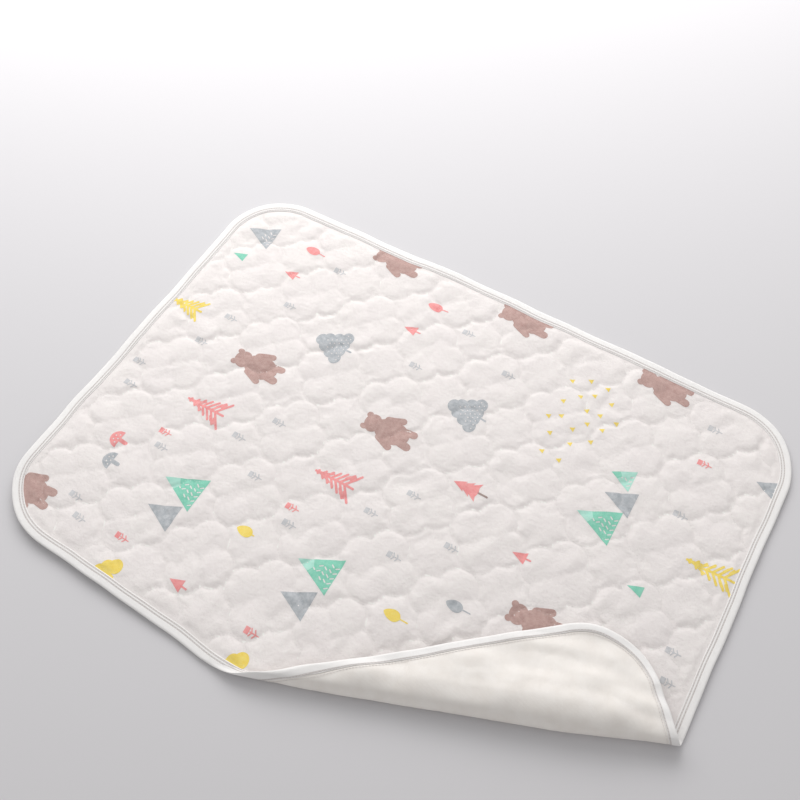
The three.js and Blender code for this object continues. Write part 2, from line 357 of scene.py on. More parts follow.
def quilted_cloth():
    """The gauze simulated as cloth held down along its seams, with the wadding's pressure under it.
    Gives a table of the relief and its lowest corner."""
    low = np.array([-HALF_LENGTH + TAPE_WIDTH, -HALF_WIDTH + TAPE_WIDTH])
    columns, rows = (round(-2 * side / SIM_STEP) + 1 for side in low)
    across, up = low[0] + SIM_STEP * np.arange(columns), low[1] + SIM_STEP * np.arange(rows)
    x, y = np.meshgrid(across, up, indexing="ij")
    distance, _ = nearest_seam(x, y)
    held = np.clip(1.6 - distance / (SIM_STEP * 0.75), 0, 1)
    held[edge_distance(x, y) < TAPE_WIDTH + 1.5] = 1
    height = np.where(held >= 1, 0, puffed(x, y))
    points = np.stack([x, y, height], -1).reshape(-1, 3)
    index = np.arange(columns * rows).reshape(columns, rows)
    quads = np.stack([index[:-1, :-1], index[1:, :-1], index[1:, 1:], index[:-1, 1:]], -1).reshape(-1, 4)
    cloth = new_object("quilting_cloth", points, [quads])
    group = cloth.vertex_groups.new(name="held")
    shares = np.round(held.ravel(), 1)
    for share in np.unique(shares[shares > 0]):
        group.add(np.nonzero(shares == share)[0].tolist(), float(share), "REPLACE")
    modifier = cloth.modifiers.new("Cloth", "CLOTH")
    settings = modifier.settings
    settings.vertex_group_mass = "held"
    settings.quality = 6
    settings.mass = 0.01
    settings.tension_stiffness = settings.compression_stiffness = 15
    settings.shear_stiffness = 5
    settings.bending_stiffness = 55
    settings.bending_damping = 0.5
    settings.use_pressure = True
    settings.uniform_pressure_force = 2.3
    settings.shrink_min = settings.shrink_max = -0.03
    settings.effector_weights.gravity = 0
    settings.air_damping = 1
    modifier.collision_settings.use_collision = False
    modifier.point_cache.frame_start, modifier.point_cache.frame_end = 1, SIM_FRAMES
    for number in range(1, SIM_FRAMES + 1):
        bpy.context.scene.frame_set(number)
    shaped = cloth.evaluated_get(bpy.context.evaluated_depsgraph_get()).to_mesh()
    moved = np.zeros(columns * rows * 3, np.float32)
    shaped.vertices.foreach_get("co", moved)
    bpy.context.scene.frame_set(1)
    bpy.data.objects.remove(cloth)
    return moved.reshape(columns, rows, 3)[..., 2] / MM, low


def new_object(name, points, face_groups):
    """A mesh object from points in millimetres and arrays of faces, one array for each number of sides."""
    mesh = bpy.data.meshes.new(name)
    mesh.vertices.add(len(points))
    mesh.vertices.foreach_set("co", (np.asarray(points, np.float32) * MM).ravel())
    corners = np.concatenate([group.ravel() for group in face_groups])
    sizes = np.concatenate([np.full(len(group), group.shape[1]) for group in face_groups])
    mesh.loops.add(len(corners))
    mesh.loops.foreach_set("vertex_index", corners.astype(np.int32))
    mesh.polygons.add(len(sizes))
    mesh.polygons.foreach_set("loop_start", (np.cumsum(sizes) - sizes).astype(np.int32))
    mesh.polygons.foreach_set("use_smooth", np.ones(len(sizes), bool))
    mesh.update(calc_edges=True)
    mesh.validate()
    thing = bpy.data.objects.new(name, mesh)
    bpy.context.scene.collection.objects.link(thing)
    return thing


RELIEF, RELIEF_LOW = quilted_cloth()


def relief(x, y):
    """Height of the quilting above its seams."""
    distance, arc = nearest_seam(x, y)
    low_side = smooth((edge_distance(x, y) - TAPE_WIDTH) / 8)
    height = RELIEF_SHARE * sampled(RELIEF, RELIEF_LOW, SIM_STEP, x, y)
    height = PUFF_LIMIT * np.tanh(height / PUFF_LIMIT) + DENTS * noise(x, y, 21, 16) * smooth(distance / 9)
    wrinkle = WRINKLES * noise(x - 0.4 * y, y / 3, 12, 17) * (0.6 + 0.4 * noise(x, y, 60, 18))
    height = height + wrinkle * smooth(distance / 7)
    phase = 2 * math.pi * arc / GATHER_PITCH + 2.5 * noise(x, y, 14, 7)
    pucker = PUCKER * np.cos(phase) * (0.6 + 0.4 * noise(x, y, 18, 8))
    height = height + pucker * np.exp(-distance / 3.5) * smooth(distance / 1.5)
    return (height - SEAM_CREASE * bell(distance / 1.6)) * low_side


def top_height(x, y):
    _, across = to_crease(x, y)
    turned = smooth((across + 10) / 20)
    return SEAM_TOP + relief(x, y) * (1 - FLAP_FLATTER * turned)


def back_height(x, y):
    """The backing: raised over the tape's lower leg, and drawn up a little at each seam."""
    distance, _ = nearest_seam(x, y)
    inner = smooth((edge_distance(x, y) - BACK_LEG + 1) / 5)
    _, across = to_crease(x, y)
    turned = smooth((across + 30) / 40)
    pulled = BACK_SEAM_PULL * np.exp(-distance / 3.0) * (1 - turned)
    pulled = pulled + FLAP_SEAM_PULL * np.exp(-distance / 5.0) * turned
    soft = turned * (0.5 + 0.45 * noise(x, y, 23, 9) + 0.15 * noise(x, y, 9, 10))
    return 0.04 + (TAPE_THICKNESS + 0.1) * (1 - inner) + inner * (pulled + soft)


# ---------------------------------------------------------------- meshes laid over the flat pad
class Grid:
    """Squares in line with the crease that cover the flat pad out to an inset, divided in two at the roll."""

    def __init__(self, step, inset):
        reach = math.hypot(HALF_LENGTH, HALF_WIDTH)
        low, high = -math.ceil(2 * reach / step), math.ceil(reach / step)
        self.step, self.low = step, low
        i, j = np.meshgrid(np.arange(low, high), np.arange(low, high), indexing="ij")
        x, y = from_crease(i * step, j * step)
        inside = edge_distance(x, y) > inset + 0.25 * step
        kept = inside[:-1, :-1] | inside[1:, :-1] | inside[1:, 1:] | inside[:-1, 1:]
        edge_x, edge_y = snap_to_inset(x, y, inset)
        self.x, self.y = np.where(inside, x, edge_x), np.where(inside, y, edge_y)
        self.kept = kept
        index = np.arange(x.size).reshape(x.shape)
        self.cells = np.stack([index[:-1, :-1], index[:-1, 1:], index[1:, 1:], index[1:, :-1]], -1)
        self.on_corner = np.broadcast_to((j[:-1, :-1] * step >= DIVISION), kept.shape)

    def part(self, corner):
        """Flat points and squares of the pad's side or of the corner's side."""
        cells = self.cells[self.kept & (self.on_corner == corner)]
        used, squares = np.unique(cells, return_inverse=True)
        return self.x.ravel()[used], self.y.ravel()[used], squares.reshape(-1, 4)


def slab(x, y, squares, upper, lower):
    """A closed layer between two heights over the same squares.
    Gives its flat points and its top faces, bottom faces and walls."""
    count = len(x)
    points = np.stack([np.tile(x, 2), np.tile(y, 2), np.concatenate([upper, lower])], -1)
    edges = np.stack([squares, np.roll(squares, -1, axis=1)], -1).reshape(-1, 2)
    forward = edges[:, 0].astype(np.int64) * count + edges[:, 1]
    backward = edges[:, 1].astype(np.int64) * count + edges[:, 0]
    rim = edges[~np.isin(forward, backward)]
    walls = np.stack([rim[:, 1], rim[:, 0], rim[:, 0] + count, rim[:, 1] + count], -1)
    return points, [squares, squares[:, ::-1] + count, walls]


def vertex_normals(points, face_groups, count):
    """Area-weighted normals of shared points, from faces with any number of sides."""
    total = np.zeros((count, 3))
    for faces in face_groups:
        if not len(faces):
            continue
        corners = points[faces]
        normal = np.zeros((len(faces), 3))
        for k in range(1, faces.shape[1] - 1):
            normal += np.cross(corners[:, k] - corners[:, 0], corners[:, k + 1] - corners[:, 0])
        for k in range(faces.shape[1]):
            np.add.at(total, faces[:, k], normal)
    return total


def joined_normals(parts):
    """Normals for the parts of one piece that is divided at the roll, equal on both sides of the cut.
    Each part is (flat points, points, face groups that show)."""
    keys = np.concatenate([np.round(flat, 2) for flat, _, _ in parts])
    _, shared = np.unique(keys, axis=0, return_inverse=True)
    shared = shared.ravel()
    total = np.zeros((shared.max() + 1, 3))
    first = 0
    spans = []
    for flat, points, faces in parts:
        span = shared[first:first + len(flat)]
        own = vertex_normals(points, faces, len(flat))
        np.add.at(total, span, own)
        spans.append(span)
        first += len(flat)
    length = np.linalg.norm(total, axis=1, keepdims=True)
    total = np.where(length > 1e-12, total / np.maximum(length, 1e-12), (0, 0, 1))
    return [total[span] for span in spans]


def finished(thing, flat, material, normals=None):
    """Gives a mesh its flat coordinates for the materials, its material and its normals."""
    attribute = thing.data.attributes.new("flat", "FLOAT_VECTOR", "POINT")
    attribute.data.foreach_set("vector", np.asarray(flat, np.float32).ravel())
    thing.data.materials.append(material)
    if normals is not None:
        thing.data.normals_split_custom_set_from_vertices(normals.astype(np.float32))
    return thing


def layer(name, grid, upper, lower, material):
    """A layer of the pad as two closed pieces, the pad's and the turned corner's."""
    built = []
    for corner in (False, True):
        x, y, squares = grid.part(corner)
        flat, groups = slab(x, y, squares, upper(x, y), lower(x, y))
        built.append((flat, place(flat[:, 0], flat[:, 1], flat[:, 2]), groups))
    normals = joined_normals([(flat, points, groups[:2]) for flat, points, groups in built])
    pieces = []
    for (flat, points, groups), normal, side in zip(built, normals, ("pad", "corner")):
        thing = new_object(f"{name}_{side}", points, groups)
        pieces.append(finished(thing, flat, material, normal))
    return pieces


# ---------------------------------------------------------------- materials
class Cloth:
    """A node material for cloth, which reads the flat pad's own millimetres."""

    def __init__(self, name, roughness, sheen=0.0, sheen_roughness=0.5, specular=0.3):
        self.material = bpy.data.materials.new(name)
        self.material.use_nodes = True
        self.tree = self.material.node_tree
        self.shader = self.tree.nodes["Principled BSDF"]
        self.shader.inputs["Roughness"].default_value = roughness
        self.shader.inputs["Sheen Weight"].default_value = sheen
        self.shader.inputs["Sheen Roughness"].default_value = sheen_roughness
        self.shader.inputs["Specular IOR Level"].default_value = specular
        where = self.node("ShaderNodeAttribute")
        where.attribute_name = "flat"
        self.flat = where.outputs["Vector"]

    def node(self, kind, **inputs):
        made = self.tree.nodes.new(kind)
        for name, value in inputs.items():
            self.put(made.inputs[name.replace("_", " ")], value)
        return made

    def put(self, socket, value):
        if isinstance(value, bpy.types.NodeSocket):
            self.tree.links.new(value, socket)
        else:
            socket.default_value = value

    def noise(self, size, detail=2.0, rough=0.5, vector=None):
        made = self.node("ShaderNodeTexNoise", Scale=1 / size, Detail=detail, Roughness=rough)
        self.put(made.inputs["Vector"], vector or self.flat)
        return made.outputs["Fac"]

    def bands(self, pitch, direction, distortion=0.0, vector=None):
        """Threads side by side, one pitch apart."""
        made = self.node("ShaderNodeTexWave", Scale=math.pi / 10 / pitch, Distortion=distortion)
        made.inputs["Detail"].default_value = 1.0
        made.inputs["Detail Scale"].default_value = 1.5
        made.bands_direction = direction
        self.put(made.inputs["Vector"], vector or self.flat)
        return made.outputs["Fac"]

    def maths(self, operation, a, b=0.0, c=0.0):
        made = self.node("ShaderNodeMath")
        made.operation = operation
        for socket, value in zip(made.inputs, (a, b, c)):
            self.put(socket, value)
        return made.outputs[0]

    def ramp(self, factor, low, high, start=0.0, stop=1.0):
        """From one value to another as factor goes from start to stop."""
        made = self.node("ShaderNodeMapRange")
        names = ("Value", "From Min", "From Max", "To Min", "To Max")
        for name, value in zip(names, (factor, start, stop, low, high)):
            self.put(made.inputs[name], value)
        return made.outputs[0]

    def mix(self, factor, a, b):
        made = self.node("ShaderNodeMix")
        made.data_type = "RGBA"
        for number, value in ((0, factor), (6, a), (7, b)):
            self.put(made.inputs[number], value)
        return made.outputs[2]

    def bump(self, height, distance, strength=1.0):
        made = self.node("ShaderNodeBump", Height=height, Distance=distance, Strength=strength)
        self.put(self.shader.inputs["Normal"], made.outputs[0])
        return made

    def colour(self, value):
        self.put(self.shader.inputs["Base Color"], value)

    def roughness(self, value):
        self.put(self.shader.inputs["Roughness"], value)


def rgb(red, green, blue):
    """A display colour, 0 to 255, as the linear colour that a shader takes."""
    def linear(value):
        value = value / 255
        return value / 12.92 if value <= 0.04045 else ((value + 0.055) / 1.055) ** 2.4
    return (linear(red), linear(green), linear(blue), 1.0)


def gauze_weave(cloth, pitch=0.62):
    """The open plain weave of gauze: crossing threads of uneven thickness."""
    warp = cloth.bands(pitch, "X", 1.2)
    weft = cloth.bands(pitch * 1.08, "Y", 1.2)
    return cloth.maths("MAXIMUM", warp, weft)


def gauze_bump(cloth, weave, crinkle):
    height = cloth.maths("MULTIPLY_ADD", crinkle, 3.0, cloth.maths("MULTIPLY", weave, 0.55))
    cloth.bump(height, 0.0003, 0.8)


def gauze_material():
    cloth = Cloth("printed_gauze", 0.92, sheen=0.25, sheen_roughness=0.45, specular=0.2)
    weave = gauze_weave(cloth)
    crinkle = cloth.noise(4.2, 4.0, 0.62)
    patches = cloth.noise(38, 2.0)
    white = cloth.mix(cloth.ramp(patches, 0, 1, 0.35, 0.65), rgb(246, 241, 239), rgb(247, 245, 240))
    # painted shade: the gauze is darker in the crinkle's hollows, where the same noise makes the bump low
    white = cloth.mix(cloth.ramp(crinkle, 0.0, 0.5, 0.3, 0.75), rgb(236, 229, 227), white)
    # painted shade between the weave's threads: darker where the weave's bump is low
    cloth.colour(cloth.mix(cloth.ramp(weave, 0.0, 1.0, 0.0, 0.7), rgb(232, 225, 222), white))
    cloth.roughness(cloth.ramp(weave, 0.98, 0.86))
    gauze_bump(cloth, weave, crinkle)
    return cloth.material


def ink_material(name, colour, pale):
    """Ink in the gauze: the weave shows through and the colour is a little uneven."""
    cloth = Cloth(name, 0.9, sheen=0.15, specular=0.2)
    weave = gauze_weave(cloth)
    blot = cloth.noise(5.5, 4.0, 0.7)
    tone = cloth.mix(cloth.ramp(blot, 0.0, 1.0, 0.35, 0.7), colour, pale)
    cloth.colour(cloth.mix(cloth.ramp(weave, 0.35, 0.0, 0.1, 0.6), tone, rgb(238, 232, 229)))
    gauze_bump(cloth, weave, cloth.noise(4.2, 4.0, 0.62))
    return cloth.material


def backing_material():
    """Smooth brushed knit, off-white, with fine ribs and a soft sheen."""
    cloth = Cloth("knit_backing", 0.62, sheen=0.35, sheen_roughness=0.35, specular=0.35)
    ribs = cloth.bands(0.9, "Y", 0.6)
    loops = cloth.bands(0.7, "X", 0.9)
    soft = cloth.noise(16, 3.0)
    # painted shade: the cream is darker where the soft noise makes the bump low
    cream = cloth.mix(cloth.ramp(soft, 0, 1, 0.35, 0.65), rgb(239, 233, 227), rgb(245, 240, 235))
    cloth.colour(cloth.mix(cloth.ramp(ribs, 0.0, 0.25), cream, rgb(227, 219, 211)))
    height = cloth.maths("MULTIPLY_ADD", soft, 4.0, cloth.maths("MULTIPLY", ribs, loops))
    cloth.bump(height, 0.00018, 0.7)
    return cloth.material


def tape_material():
    """Plain-woven tape with a fine cross rib."""
    cloth = Cloth("woven_tape", 0.72, sheen=0.2, sheen_roughness=0.4, specular=0.35)
    warp, weft = cloth.bands(0.5, "X", 0.5), cloth.bands(0.5, "Y", 0.5)
    weave = cloth.maths("MULTIPLY", warp, weft)
    soft = cloth.noise(9, 3.0)
    # painted shade: the tape is lighter where the soft noise raises the bump and darker in its dips
    white = cloth.mix(soft, rgb(249, 247, 245), rgb(254, 252, 251))
    # painted shade between the weave's threads
    white = cloth.mix(cloth.ramp(weave, 0.3, 0.0), white, rgb(236, 231, 228))
    parts = cloth.node("ShaderNodeSeparateXYZ", Vector=cloth.flat)
    # painted shade along the two stitch rows, where the stitching presses the tape in: the tape is darker
    # there
    stitch_row_shade = 0.0
    for row in STITCH_ROWS:
        away = cloth.maths("ABSOLUTE", cloth.maths("SUBTRACT", parts.outputs["Y"], row))
        stitch_row_shade = cloth.maths("MAXIMUM", stitch_row_shade, cloth.ramp(away, 0.75, 0.0, 0.3, 0.95))
    cloth.colour(cloth.mix(stitch_row_shade, white, rgb(188, 178, 174)))
    cloth.bump(cloth.maths("MULTIPLY_ADD", soft, 1.5, weave), 0.0002, 0.8)
    return cloth.material


def thread_material():
    """Twisted polyester sewing thread."""
    cloth = Cloth("sewing_thread", 0.5, sheen=0.2, specular=0.5)
    twist = cloth.bands(0.35, "DIAGONAL", 0.4)
    # painted shade in the twist's grooves: darker where the twist's bump is low
    cloth.colour(cloth.mix(twist, rgb(222, 216, 213), rgb(243, 239, 236)))
    cloth.bump(twist, 0.0001, 0.8)
    return cloth.material


def wadding_material():
    cloth = Cloth("wadding", 0.95, sheen=0.4)
    fibres = cloth.noise(1.6, 6.0, 0.75)
    # painted shade: the wadding is darker where the fibre noise makes the bump low
    cloth.colour(cloth.mix(fibres, rgb(236, 233, 227), rgb(250, 249, 246)))
    cloth.bump(fibres, 0.0006, 1.0)
    return cloth.material


def film_material():
    cloth = Cloth("waterproof_film", 0.28, specular=0.5)
    wrinkle = cloth.noise(6, 4.0, 0.6)
    # painted shade in the wrinkles' hollows: darker where the wrinkle noise makes the bump low
    cloth.colour(cloth.mix(wrinkle, rgb(226, 232, 236), rgb(240, 243, 245)))
    cloth.bump(wrinkle, 0.0003, 0.6)
    return cloth.material


# ---------------------------------------------------------------- the layers
FINE = Grid(FINE_STEP, COVER_INSET)
COARSE = Grid(COARSE_STEP, COVER_INSET + 1)


def between(share):
    """A height inside the pad, between the backing and the top cover."""
    def height(x, y):
        low, high = over_back(x, y), under_top(x, y)
        return low + share * np.maximum(high - low, 0.2)
    return height


def under_top(x, y):
    return top_height(x, y) - COVER_THICKNESS


def over_back(x, y):
    return back_height(x, y) + COVER_THICKNESS


top_cover = layer("gauze_cover", FINE, top_height, under_top, gauze_material())
backing = layer("backing", FINE, over_back, back_height, backing_material())
film = layer("waterproof_sheet", COARSE, between(0.2), between(0.05), film_material())
wadding = layer("wadding", COARSE, between(0.95), between(0.25), wadding_material())


class Surface:
    """The top cover's own mesh, for what lies on it."""

    def __init__(self, grid):
        self.grid = grid
        shape = grid.x.shape
        near = edge_distance(grid.x, grid.y) > 0
        height = np.where(near, top_height(grid.x, grid.y), SEAM_TOP)
        self.points = place(grid.x.ravel(), grid.y.ravel(), height.ravel()).reshape(*shape, 3)
        normal = np.cross(np.gradient(self.points, axis=1), np.gradient(self.points, axis=0))
        self.normals = normal / np.maximum(np.linalg.norm(normal, axis=-1, keepdims=True), 1e-9)

    def at(self, x, y, lift):
        """Points a little above the cover, and the cover's direction there."""
        along, across = to_crease(x, y)
        u, v = along / self.grid.step - self.grid.low, across / self.grid.step - self.grid.low
        i, j = np.floor(u).astype(int), np.floor(v).astype(int)
        fu, fv = (u - i)[..., None], (v - j)[..., None]

        def blended(table):
            near = table[i, j] * (1 - fu) + table[i + 1, j] * fu
            far = table[i, j + 1] * (1 - fu) + table[i + 1, j + 1] * fu
            return near * (1 - fv) + far * fv

        normal = blended(self.normals)
        normal = normal / np.linalg.norm(normal, axis=-1, keepdims=True)
        return blended(self.points) + normal * lift, normal


COVER = Surface(FINE)


# ---------------------------------------------------------------- the print
# A motif is drawn upright, in millimetres with u to the right and v up, as layers of (ink, shapes, gaps).
def ellipse(u, v, half_width, half_height):
    turn = np.linspace(0, 2 * math.pi, 28, endpoint=False)
    return np.stack([u + half_width * np.cos(turn), v + half_height * np.sin(turn)], -1)


def bar(u0, v0, u1, v1, thickness):
    """A stroke with round ends."""
    tilt = math.atan2(v1 - v0, u1 - u0)
    turn = np.linspace(-math.pi / 2, math.pi / 2, 6)
    ends = []
    for u, v, facing in ((u1, v1, tilt), (u0, v0, tilt + math.pi)):
        radius = thickness / 2
        ends.append(np.stack([u + radius * np.cos(turn + facing), v + radius * np.sin(turn + facing)], -1))
    return np.concatenate(ends)


def outline(*corners):
    return np.array(corners, float)


def mirrored(*shapes):
    return [*shapes, *(shape[::-1] * (-1, 1) for shape in shapes)]


def dashes(width, low, high, across, up):
    """Short slanting strokes scattered over a triangle that stands on v = low with its tip at v = high."""
    gaps = []
    for row, v in enumerate(np.arange(low + up / 2, high, up)):
        room = width / 2 * (high - v) / (high - low + 6) - 1.5
        for u in np.arange(-room + (row % 2) * across / 2, room, across):
            lean = 0.9 if row % 3 else -0.9
            gaps.append(bar(u - lean, v - 1.3, u + lean, v + 1.3, 1.3))
    return gaps


def animal():
    """A plain upright animal, without a face or clothes."""
    limbs = mirrored(bar(-11, 4, -17, -11, 7.5), bar(-7, -19, -8, -28, 9), ellipse(-7.5, 24.5, 3.4, 3.6))
    return [("mauve", [ellipse(0, -6, 14, 20), ellipse(0, 17, 10.5, 9.5), *limbs], [])]


def bubble_tree():
    crown = [
        ellipse(u, v, 7.6, 7)
        for count, v in ((4, -9), (3, 0), (2, 9), (1, 16))
        for u in (np.arange(count) - (count - 1) / 2) * 9.5
    ]
    spots = [
        ellipse(u + 2.5 * (row % 2), v, 0.75, 0.75)
        for row, v in enumerate(np.arange(-12, 19, 4.4))
        for u in np.arange(-16, 17, 5.2)
        if abs(u) < 19 - 0.75 * (v + 12)
    ]
    return [("grey", [*crown, bar(0, -14, 0, -21, 2.4)], spots)]


def fir(ink, half_width=15.0, half_height=22.0):
    """A feathery tree of drooping branches."""
    branches = [bar(0, -half_height, 0, half_height, 2.6)]
    for v in np.linspace(-0.55 * half_height, 0.92 * half_height, 7):
        reach = half_width * (half_height - v) / (1.55 * half_height) + 1
        branch = bar(0, v, -reach, v - 0.75 * reach, 2.6)
        branches += mirrored(branch, bar(-reach * 0.45, v - 3, -reach * 0.8, v - 6.5, 1.6))
    return [(ink, branches, [])]


def tiered_tree(ink, half_width=9.0, height=28.0):
    tiers = []
    for step in range(3):
        base, top = height * (-0.25 + 0.2 * step), height * (0.2 + 0.15 * step)
        half = half_width * (1 - 0.22 * step)
        hem = ((-half, base), (-half / 2, base + 1.5), (0, base), (half / 2, base + 1.5), (half, base))
        tiers.append(outline(*hem, (0, top)))
    return [("brown", [bar(0, -height / 2, 0, -height / 4, 2.2)], []), (ink, tiers, [])]


def little_tree(ink):
    return [(ink, [outline((-6.5, -4), (6.5, -4), (0, 11)), bar(0, -4, 0, -9, 1.8)], [])]


def leaf(ink, stem=8.0):
    turn = np.linspace(0, math.pi, 14)
    edge = np.stack([5.5 * np.sin(turn) ** 1.2 * (1 + 0.25 * np.cos(turn)), -9 * np.cos(turn)], -1)
    blade = np.concatenate([edge, (edge * (-1, 1))[-2:0:-1]])
    return [(ink, [blade, bar(0, -8, 0, -8 - stem, 1.3)], [])]


def mountain(width=40.0, height=42.0, ink="teal", cap="mint"):
    low, high, snow = -height / 2, height / 2, height / 6
    half_snow = width / 2 * (high - snow) / height
    body = outline((-width / 2, low), (width / 2, low), (half_snow, snow), (0, snow - 4), (-half_snow, snow))
    peak = outline((-half_snow, snow), (0, snow - 4), (half_snow, snow), (0, high))
    return [(ink, [body], dashes(width, low, snow, 5.5, 5.2)), (cap, [peak], [])]


def hill(ink="grey", width=30.0, height=32.0):
    body = outline((-width / 2, -height / 2), (width / 2, -height / 2), (0, height / 2))
    return [(ink, [body], [])]


def mushroom(ink):
    turn = np.linspace(0, math.pi, 16)
    cap = np.stack([10 * np.cos(turn), 11 * np.sin(turn)], -1)
    spots = [ellipse(u, v, 0.9, 0.9) for u, v in ((-5, 3), (0, 2.5), (5, 3), (-2.5, 6.5), (2.5, 6.5))]
    return [(ink, [cap, bar(0, 0, 0, -7, 4.5)], spots)]


def puffy_cloud():
    puffs = [ellipse(u, v, 8, 7) for u, v in ((-14, -3), (-7, 4), (3, 6), (11, 1), (16, -5), (0, -5))]
    return [("yellow", puffs, [])]


def twig(ink):
    sprigs = mirrored(bar(0, -4, -3.4, -2, 1.2), bar(0, 0, -3.4, 2, 1.2))
    return [(ink, [bar(0, -7, 0, 2, 1.1), outline((-3.2, 3), (3.2, 3), (3.2, 8), (-3.2, 8)), *sprigs], [])]


def triangle(ink):
    return [(ink, [outline((-2.9, -2.4), (2.9, -2.4), (0, 3))], [])]


# Where each motif is printed on the flat pad; the tops of the motifs point to -x
PRINTED = (
    (animal(), (
        (-208, 32), (-42, 34), (-145, 232), (22, 230), (192, 228), (185, -75), (-325, -210), (285, -212),
    )),
    (bubble_tree(), ((-147, 97), (22, 95), (228, -206))),
    (fir("rose"), ((-224, -38), (-60, -42))),
    (fir("yellow", 13, 19), ((-322, 60),)),
    (fir("yellow", 14, 25), ((313, 56),)),
    (tiered_tree("rose", 11, 38), ((66, 17),)),
    (little_tree("rose"), ((-242, 157), (-80, 157), (145, -22), (-132, -208), (324, -176))),
    (leaf("rose"), ((-240, 198), (-73, 197), (180, -222))),
    (leaf("yellow", 3), ((-108, -132),)),
    (leaf("yellow", 9), ((62, -135), (140, -228))),
    (leaf("grey", 9), ((110, -98),)),
    (hill(), ((-192, -158), (-27, -165), (203, 82))),
    (mountain(), ((-190, -125), (-25, -130), (192, 50))),
    (mountain(26, 24, "mint", "teal"), ((196, 107),)),
    (mountain(34, 34, "grey", "grey"), ((-307, 190), (335, 170))),
    (hill("teal", 12, 16), ((-312, 150), (255, 3))),
    (mushroom("rose"), ((-277, -117),)),
    (mushroom("grey"), ((-268, -141),)),
    (puffy_cloud(), ((-200, -243), (-45, -248))),
    (twig("rose"), ((-242, -84), (-80, -89), (-208, -200), (-45, -208), (265, 162), (318, -196))),
    (triangle("yellow"), (
        (120, 195), (140, 195), (102, 186), (131, 180), (151, 180),
        (118, 172), (104, 158), (131, 160), (146, 161),
        (165, 161), (138, 145), (155, 146), (110, 141), (98, 134),
        (127, 132), (150, 128), (108, 116), (132, 115),
        (110, 93), (130, 92),
    )),
    (twig("silver"), (
        (-195, 187), (-22, 183), (-220, 118), (-53, 117), (40, 157),
        (-268, 70), (-278, 28), (260, 205), (265, 97),
        (-310, -55), (-320, -27), (-172, -50), (-8, -55), (-145, -15),
        (20, -17), (80, -48), (-132, -79), (35, -84),
        (-235, -100), (-73, -105), (-275, -192), (-257, -208), (312, -36),
        (318, -65), (-100, -248), (190, -200),
        (278, -180),
    )),
)
INKS = {
    "mauve": (rgb(178, 142, 135), rgb(197, 166, 158)),
    "grey": (rgb(164, 170, 175), rgb(200, 202, 205)),
    "silver": (rgb(196, 197, 200), rgb(214, 213, 214)),
    "rose": (rgb(238, 140, 141), rgb(244, 168, 166)),
    "teal": (rgb(118, 203, 176), rgb(146, 214, 191)),
    "mint": (rgb(165, 223, 206), rgb(184, 229, 214)),
    "yellow": (rgb(244, 214, 84), rgb(247, 224, 120)),
    "brown": (rgb(150, 128, 122), rgb(172, 152, 146)),
}
PRINT_STEP = 1.7         # mesh size of the print
PRINT_LIFT = 0.16        # how far the print lies above the gauze
PRINT_MARGIN = 9.0       # the print ends under the tape, this far inside the pad's edge


def divided(shape):
    """An outline with its long sides divided."""
    rows = []
    for start, end in zip(shape, np.roll(shape, -1, axis=0)):
        count = max(1, round(float(np.linalg.norm(end - start)) / PRINT_STEP))
        rows.append(start + (end - start) * np.arange(count)[:, None] / count)
    return np.concatenate(rows)


def within(shape, points):
    """Which points lie inside an outline."""
    inside = np.zeros(len(points), bool)
    u, v = points.T
    for (u0, v0), (u1, v1) in zip(shape, np.roll(shape, -1, axis=0)):
        if v0 != v1:
            inside ^= ((v0 > v) != (v1 > v)) & (u < (u1 - u0) * (v - v0) / (v1 - v0) + u0)
    return inside


def inked(shapes, gaps):
    """Points and triangles inside the shapes and outside the gaps, fine enough to follow the quilting."""
    edges = [divided(shape) for shape in [*shapes, *gaps]]
    low, high = np.concatenate(edges).min(axis=0), np.concatenate(edges).max(axis=0)
    u, v = np.meshgrid(*(np.arange(a + 0.31, b, PRINT_STEP) for a, b in zip(low, high)), indexing="ij")
    points = np.concatenate([*edges, np.stack([u.ravel(), v.ravel()], -1)])
    first = np.cumsum([0, *(len(edge) for edge in edges)])
    faces = [list(range(a, b)) for a, b in zip(first, first[1:])]
    found = delaunay_2d_cdt([Vector(point) for point in points], [], faces, 1, 1e-4)
    points, triangles = np.array([point[:] for point in found[0]]), np.array(found[2])
    middle = points[triangles].mean(axis=1)
    kept = np.any([within(shape, middle) for shape in shapes], axis=0)
    for gap in gaps:
        kept &= ~within(gap, middle)
    return points, triangles[kept]


def print_pieces():
    """One thin piece of ink for each colour on the pad and on the turned corner."""
    gathered = {}
    for motif, places in PRINTED:
        for ink, shapes, gaps in motif:
            points, triangles = inked(shapes, gaps)
            for x, y in places:
                flat = np.stack([x - points[:, 1], y + points[:, 0]], -1)
                shown = edge_distance(*flat[triangles].mean(axis=1).T) > PRINT_MARGIN
                _, across = to_crease(x, y)
                gathered.setdefault((ink, bool(across > DIVISION)), []).append((flat, triangles[shown]))
    pieces = []
    materials = {ink: ink_material(f"ink_{ink}", *colours) for ink, colours in INKS.items()}
    for (ink, corner), parts in sorted(gathered.items()):
        first = np.cumsum([0, *(len(flat) for flat, _ in parts)])
        flat = np.concatenate([flat for flat, _ in parts])
        triangles = np.concatenate([faces + start for (_, faces), start in zip(parts, first)])
        used, triangles = np.unique(triangles, return_inverse=True)
        flat = flat[used]
        points, normal = COVER.at(flat[:, 0], flat[:, 1], PRINT_LIFT)
        side = "corner" if corner else "pad"
        thing = new_object(f"print_{ink}_{side}", points, [triangles.reshape(-1, 3)])
        flat = np.column_stack([flat, np.zeros(len(flat))])
        pieces.append((finished(thing, flat, materials[ink], normal), corner))
    return pieces


prints = print_pieces()


# ---------------------------------------------------------------- binding tape
def stitch_channel(depth):
    """How deep the stitching presses the tape in, at a distance in from the edge."""
    return CHANNEL * sum(bell((depth - row) / 0.55) for row in STITCH_ROWS)


